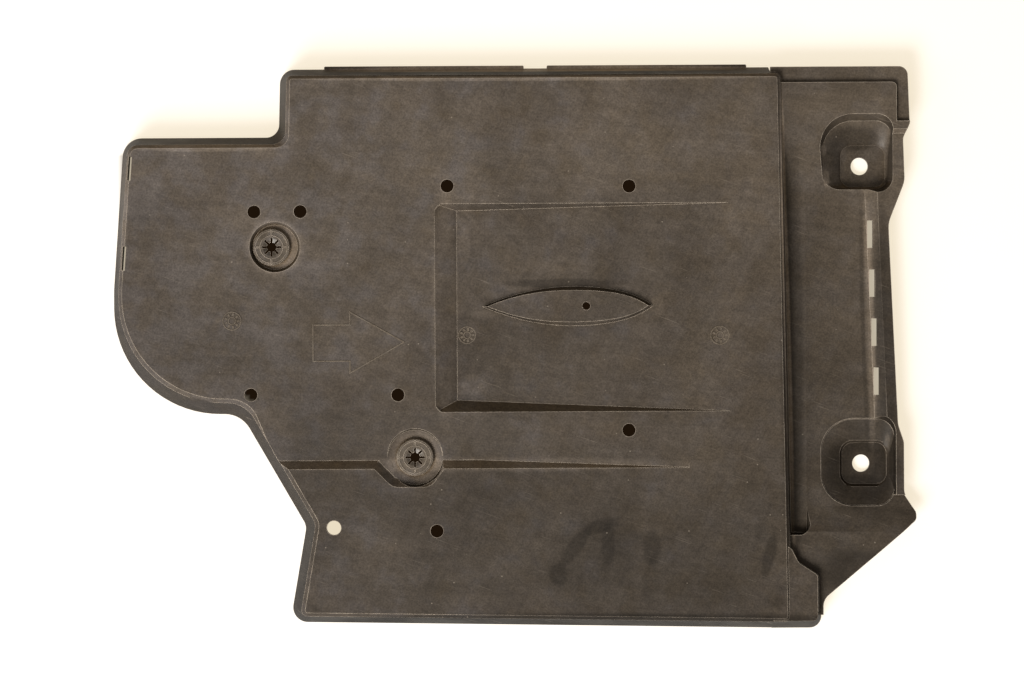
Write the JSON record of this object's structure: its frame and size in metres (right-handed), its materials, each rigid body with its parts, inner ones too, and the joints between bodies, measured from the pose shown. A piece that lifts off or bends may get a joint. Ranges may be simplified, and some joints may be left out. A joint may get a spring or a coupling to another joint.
{
  "type": "underbody panel",
  "caption": "Moulded car underbody panel with a flared skirt, a ramped recess around an airfoil island, bolt pockets along its front edge and floating stud clips.",
  "frame": {"origin": "middle of the panel's overall box, on the surface it lies on", "axes": "+X towards the front edge with the bolt pockets, +Y towards the outer side of the car, +Z out of the road face"},
  "size_m": [0.485, 0.342, 0.0208],
  "materials": {
    "panel": "fine moulded grain, dusty",
    "clip": "smooth moulded, dusty"
  },
  "bodies": {
    "root": {"panel": "panel", "rear_stud_clip": "clip", "inner_stud_clip": "clip"}
  },
  "joints": []
}
